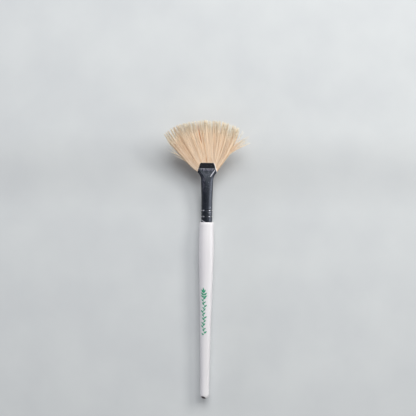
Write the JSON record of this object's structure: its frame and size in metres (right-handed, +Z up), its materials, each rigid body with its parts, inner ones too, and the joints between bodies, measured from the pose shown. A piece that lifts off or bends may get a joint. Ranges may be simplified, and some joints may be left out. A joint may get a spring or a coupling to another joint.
{
  "type": "fan brush",
  "caption": "Flat fan brush with a turned lacquered wooden handle, a crimped black ferrule flattened at the mouth, and a splayed fan of pale natural bristle.",
  "frame": {"origin": "centre of the small flat on the butt end of the handle", "axes": "+Z up the handle to the bristle tips, +X across the fan, the fan's front face looks along -Y"},
  "size_m": [0.0556, 0.0096, 0.1778],
  "materials": {
    "handle_wood": "matte",
    "white_lacquer": "gloss",
    "black_ferrule": "satin",
    "glue": "gloss",
    "resin": "gloss",
    "thread": "matte",
    "hog_bristle": "matte"
  },
  "bodies": {
    "brush_handle": {"handle": "handle_wood", "handle_lacquer": "white_lacquer", "tenon_glue": "glue", "ferrule": "black_ferrule", "knot_resin": "resin", "knot_thread": "thread", "bristle_knot": "hog_bristle"},
    "bristles": {"bristle_lock_01": "hog_bristle", "bristle_lock_02": "hog_bristle", "bristle_lock_03": "hog_bristle", "bristle_lock_04": "hog_bristle", "bristle_lock_05": "hog_bristle", "bristle_lock_06": "hog_bristle", "bristle_lock_07": "hog_bristle", "bristle_lock_08": "hog_bristle", "bristle_lock_09": "hog_bristle", "bristle_lock_10": "hog_bristle", "bristle_lock_11": "hog_bristle", "bristle_lock_12": "hog_bristle", "bristle_lock_13": "hog_bristle", "bristle_lock_14": "hog_bristle", "bristle_tuft_stray": "hog_bristle"}
  },
  "joints": [
    {"name": "bristle_flex", "type": "hinge", "parent": "brush_handle", "child": "bristles", "pos_m": [0, 0, 0.1526], "axis": [1, 0, 0], "range_deg": [-40, 40], "stiffness_Nm_per_rad": 0.01}
  ]
}
